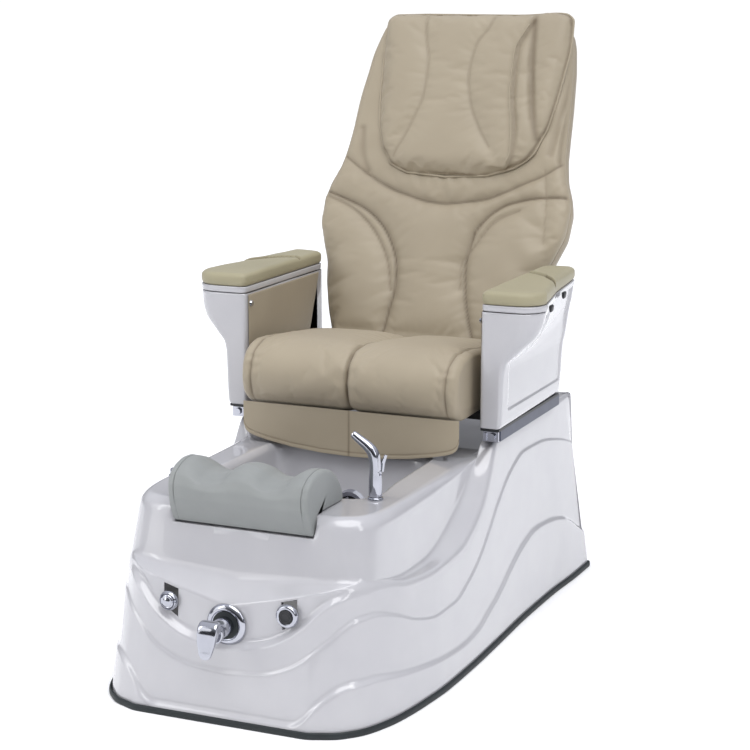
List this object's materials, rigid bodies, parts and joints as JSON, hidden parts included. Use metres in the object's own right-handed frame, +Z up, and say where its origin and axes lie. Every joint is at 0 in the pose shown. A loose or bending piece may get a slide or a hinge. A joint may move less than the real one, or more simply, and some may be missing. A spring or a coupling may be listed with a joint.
{
  "type": "pedicure spa chair",
  "caption": "Pedicure spa chair: glossy moulded base with a foot bath, footrest and hand spray, under a padded seat on rails with lidded arms and a reclining massage back.",
  "frame": {"origin": "on the floor, under the middle of the chair's overall length and width", "axes": "+X to the right of someone facing the foot bath, -Y to the front where the controls are, +Y along the length to the back, +Z up"},
  "size_m": [0.9044, 1.616, 1.4411],
  "materials": {
    "gelcoat": "glossy pearl white",
    "trim_rubber": "satin black",
    "leather": "matt beige",
    "grey_foam": "satin grey",
    "chrome": "polished",
    "steel": "blue grey, satin",
    "black_plastic": "satin black",
    "hose": "satin grey"
  },
  "bodies": {
    "base": {"base_shell": "gelcoat", "base_trim": "trim_rubber", "drain_body": "chrome", "drain_pipe": "hose", "jet_ring": "chrome", "jet_motor": "black_plastic", "spray_holder": "chrome", "mixer_escutcheon": "chrome", "mixer_body": "chrome", "button_bezel_left": "chrome", "button_bezel_right": "chrome", "inlet_cold": "chrome", "inlet_hot": "chrome", "supply_hose_cold": "hose", "supply_hose_hot": "hose", "power_inlet": "black_plastic", "rail_left": "steel", "rail_right": "steel", "rail_bracket_left": "chrome", "rail_bracket_right": "chrome"},
    "stopper": {"drain_stopper": "chrome"},
    "impeller": {"jet_impeller": "chrome"},
    "handset": {"spray_handset": "chrome"},
    "trigger": {"spray_trigger": "chrome"},
    "drain_knob": {"rim_knob": "chrome"},
    "mixer_turn": {"mixer_hub": "chrome"},
    "mixer_lift": {"mixer_lever": "chrome"},
    "push_button_left": {"button_left": "chrome"},
    "push_button_right": {"button_right": "black_plastic"},
    "leg_rest": {"footrest": "grey_foam"},
    "seat_carriage": {"seat_frame": "steel", "arm_shell_left": "gelcoat", "arm_shell_right": "gelcoat", "arm_panel_left": "leather", "arm_panel_right": "leather", "arm_bolt_left": "chrome", "arm_bolt_right": "chrome", "lid_hinge_left_front": "black_plastic", "lid_hinge_left_rear": "black_plastic", "lid_hinge_right_front": "black_plastic", "lid_hinge_right_rear": "black_plastic", "seat_cushion": "leather", "seat_apron": "leather", "recline_motor": "black_plastic"},
    "armrest_left": {"arm_lid_left": "gelcoat", "arm_pad_left": "leather"},
    "armrest_right": {"arm_lid_right": "gelcoat", "arm_pad_right": "leather"},
    "recline_piston": {"recline_rod": "steel"},
    "backrest": {"back_pad": "leather", "back_shell": "leather", "back_frame": "steel"},
    "carriage": {"massage_carriage": "black_plastic"},
    "roller_left": {"massage_roller_left": "black_plastic"},
    "roller_right": {"massage_roller_right": "black_plastic"},
    "pillow": {"head_pillow": "leather"}
  },
  "joints": [
    {"name": "seat_slide", "type": "slide", "parent": "base", "child": "seat_carriage", "axis": [0, -1, 0], "range_m": [0, 0.1]},
    {"name": "back_recline", "type": "hinge", "parent": "seat_carriage", "child": "backrest", "pos_m": [0, 0.387, 0.602], "axis": [-1, 0, 0], "range_deg": [0, 25]},
    {"name": "recline_piston_slide", "type": "slide", "parent": "seat_carriage", "child": "recline_piston", "axis": [0, -1, 0], "range_m": [0, 0.054]},
    {"name": "pillow_flap", "type": "hinge", "parent": "backrest", "child": "pillow", "pos_m": [0, 0.73953, 1.44145], "axis": [-1, 0, 0], "range_deg": [0, 120]},
    {"name": "massage_travel", "type": "slide", "parent": "backrest", "child": "carriage", "axis": [0, 0.454, 0.891], "range_m": [-0.18, 0.34]},
    {"name": "massage_roller_spin_left", "type": "hinge", "parent": "carriage", "child": "roller_left", "pos_m": [-0.062, 0.5288, 0.90012], "axis": [1, 0, 0], "continuous": true},
    {"name": "massage_roller_spin_right", "type": "hinge", "parent": "carriage", "child": "roller_right", "pos_m": [0.062, 0.5288, 0.90012], "axis": [1, 0, 0], "continuous": true},
    {"name": "armrest_lid_left", "type": "hinge", "parent": "seat_carriage", "child": "armrest_left", "pos_m": [-0.4482, 0.066, 0.796], "axis": [-0.1666, -0.986, 0], "range_deg": [0, 105]},
    {"name": "armrest_lid_right", "type": "hinge", "parent": "seat_carriage", "child": "armrest_right", "pos_m": [0.4482, 0.066, 0.796], "axis": [-0.1666, 0.986, 0], "range_deg": [0, 105]},
    {"name": "footrest_lift", "type": "slide", "parent": "base", "child": "leg_rest", "axis": [0, 0, 1], "range_m": [0, 0.15]},
    {"name": "handset_lift", "type": "slide", "parent": "base", "child": "handset", "axis": [0, 0, 1], "range_m": [0, 0.15]},
    {"name": "handset_trigger", "type": "hinge", "parent": "handset", "child": "trigger", "pos_m": [0.244, -0.447, 0.505], "axis": [0, 1, 0], "range_deg": [-12, 0], "stiffness_Nm_per_rad": 0.05, "springref_deg": 2.86},
    {"name": "drain_knob_turn", "type": "hinge", "parent": "base", "child": "drain_knob", "pos_m": [-0.264, -0.449, 0.45], "axis": [0, 0, 1], "range_deg": [0, 90]},
    {"name": "stopper_lift", "type": "slide", "parent": "base", "child": "stopper", "axis": [0, 0, 1], "range_m": [0, 0.01]},
    {"name": "jet_spin", "type": "hinge", "parent": "base", "child": "impeller", "pos_m": [0, -0.071, 0.3], "axis": [0, 1, 0], "continuous": true},
    {"name": "mixer_temperature", "type": "hinge", "parent": "base", "child": "mixer_turn", "pos_m": [0, -0.766, 0.208], "axis": [0, -1, 0], "range_deg": [-45, 45]},
    {"name": "mixer_flow", "type": "hinge", "parent": "mixer_turn", "child": "mixer_lift", "pos_m": [0, -0.773, 0.2375], "axis": [-1, 0, 0], "range_deg": [0, 22]},
    {"name": "push_left", "type": "slide", "parent": "base", "child": "push_button_left", "axis": [0, 1, 0], "range_m": [0, 0.0035], "stiffness_N_per_m": 300, "springref_m": -0.002},
    {"name": "push_right", "type": "slide", "parent": "base", "child": "push_button_right", "axis": [0, 1, 0], "range_m": [0, 0.0035], "stiffness_N_per_m": 300, "springref_m": -0.002}
  ],
  "couplings": [
    {"joint": "recline_piston_slide", "follows": "back_recline", "m_per_rad": 0.1225},
    {"joint": "stopper_lift", "follows": "drain_knob_turn", "m_per_rad": 0.00573}
  ]
}
